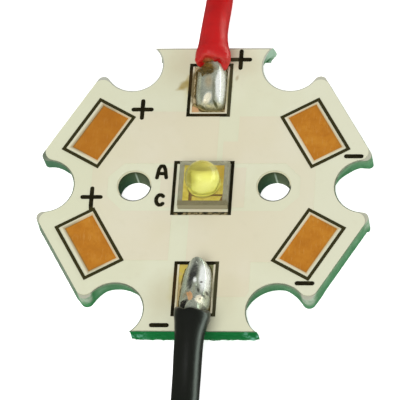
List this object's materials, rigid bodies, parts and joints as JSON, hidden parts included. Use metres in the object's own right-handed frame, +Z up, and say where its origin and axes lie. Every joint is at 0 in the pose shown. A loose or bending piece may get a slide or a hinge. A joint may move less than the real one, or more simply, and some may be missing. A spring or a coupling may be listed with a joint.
{
  "type": "star pcb power led with leads",
  "caption": "Star-shaped glass-epoxy board with a domed power LED, screw notches and a red and a black lead soldered to it.",
  "frame": {"origin": "on the board's underside, below the middle of the star outline", "axes": "+Z up out of the LED's dome, +Y towards the positive (red) lead, +X along the line of the two through holes"},
  "size_m": [0.0251, 0.0768, 0.0038],
  "materials": {
    "laminate": "routed and scored glass-epoxy laminate, green on the cut edges",
    "bare_copper": "bare copper, slightly tarnished orange-brown",
    "tinned_copper": "hot-levelled tin over copper foil",
    "white_mask": "warm white solder mask, semi-gloss",
    "black_legend": "screen-printed black ink",
    "solder": "bright hand-soldered tin alloy with flux stain",
    "gold_plate": "gold plating",
    "grey_ceramic": "unglazed grey ceramic, sawn sides",
    "semiconductor": "polished semiconductor die",
    "yellow_phosphor": "matt yellow phosphor",
    "clear_silicone": "clear moulded silicone",
    "tinned_strands": "tinned copper strands",
    "red_pvc": "extruded red PVC insulation",
    "black_pvc": "extruded black PVC insulation",
    "tie_plastic": "natural nylon strip"
  },
  "bodies": {
    "root": {"board_core": "laminate", "copper_plus": "bare_copper", "copper_minus": "bare_copper", "copper_heat_pad": "bare_copper", "thermal_vias": "bare_copper", "rear_copper": "tinned_copper", "solder_mask": "white_mask", "legend_print": "black_legend", "led_solder_joints": "solder", "led_contacts": "gold_plate", "led_base": "grey_ceramic", "led_top_metal": "gold_plate", "led_chip": "semiconductor", "phosphor_layer": "yellow_phosphor", "surge_diode": "semiconductor", "bond_wires": "gold_plate", "led_lens": "clear_silicone", "solder_joint_plus": "solder", "solder_joint_minus": "solder", "red_lead_core": "tinned_strands", "red_lead": "red_pvc", "red_lead_coil": "red_pvc", "red_lead_tie": "tie_plastic", "red_lead_tip": "tinned_strands", "black_lead_core": "tinned_strands", "black_lead": "black_pvc", "black_lead_coil": "black_pvc", "black_lead_tie": "tie_plastic", "black_lead_tip": "tinned_strands"}
  },
  "joints": []
}
